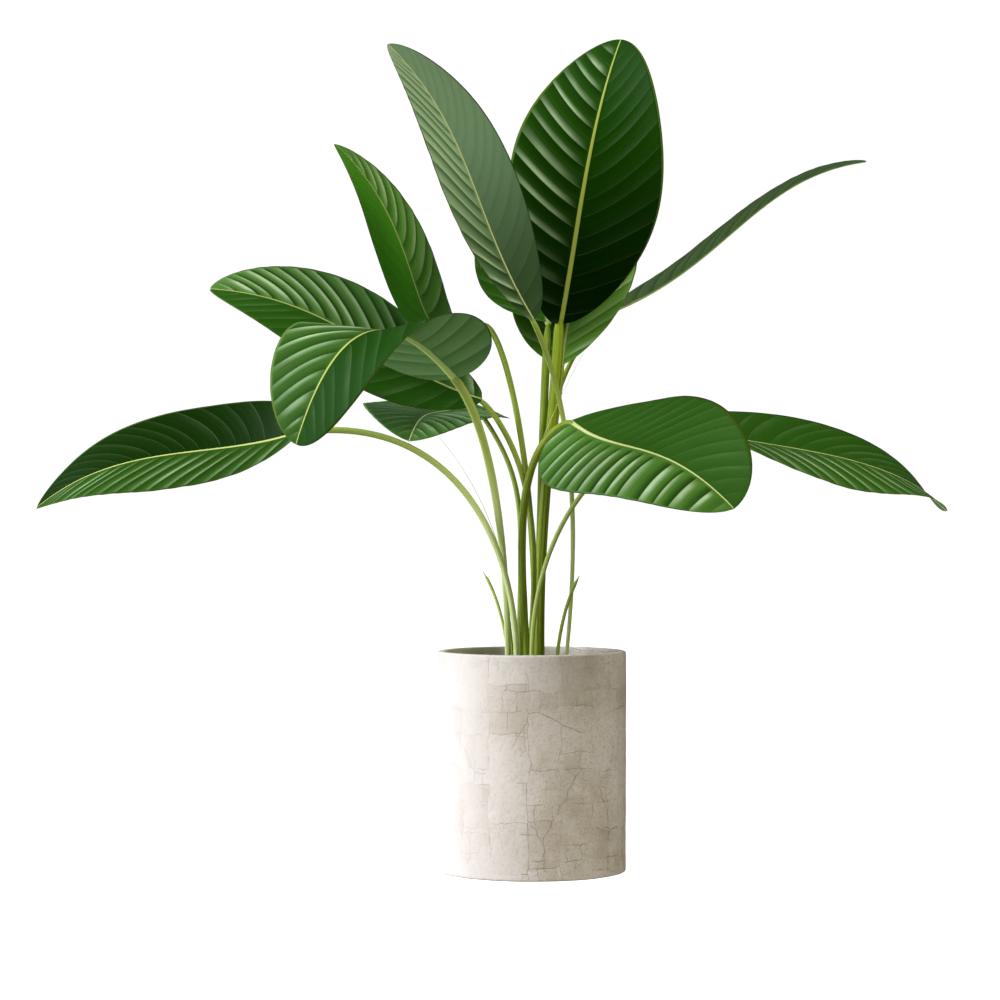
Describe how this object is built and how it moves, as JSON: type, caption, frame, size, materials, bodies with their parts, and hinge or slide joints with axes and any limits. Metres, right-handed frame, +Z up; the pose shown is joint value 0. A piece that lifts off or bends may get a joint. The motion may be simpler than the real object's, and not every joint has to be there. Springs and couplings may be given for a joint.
{
  "type": "potted bird of paradise plant",
  "caption": "Indoor foliage plant with long-stalked, broad ribbed leaves and young shoots, standing in a straight round plaster pot filled with soil.",
  "frame": {"origin": "centre of the pot's underside", "axes": "+Z up; the plant's front is seen looking along +Y, with +X to the right, the way the leaves spread widest"},
  "size_m": [1.4427, 0.8927, 1.3173],
  "materials": {
    "plaster": "matte, trowelled",
    "soil": "coarse, crumbly",
    "stalk": "satin",
    "blade": "satin, ribbed"
  },
  "bodies": {
    "root": {"pot": "plaster", "soil": "soil", "stalk-left-low": "stalk", "stalk-left-high": "stalk", "stalk-front-left": "stalk", "stalk-upper-left": "stalk", "stalk-tall-left": "stalk", "stalk-tall-middle": "stalk", "stalk-back-right": "stalk", "stalk-back-middle": "stalk", "stalk-hanging-left": "stalk", "stalk-right-high": "stalk", "stalk-front-right": "stalk", "stalk-right-low": "stalk", "shoot-right": "stalk", "shoot-left": "stalk", "shoot-short": "stalk", "leaf-left-low": "blade", "leaf-left-high": "blade", "leaf-front-left": "blade", "leaf-upper-left": "blade", "leaf-tall-left": "blade", "leaf-tall-middle": "blade", "leaf-back-right": "blade", "leaf-back-middle": "blade", "leaf-hanging-left": "blade", "leaf-right-high": "blade", "leaf-front-right": "blade", "leaf-right-low": "blade"}
  },
  "joints": []
}
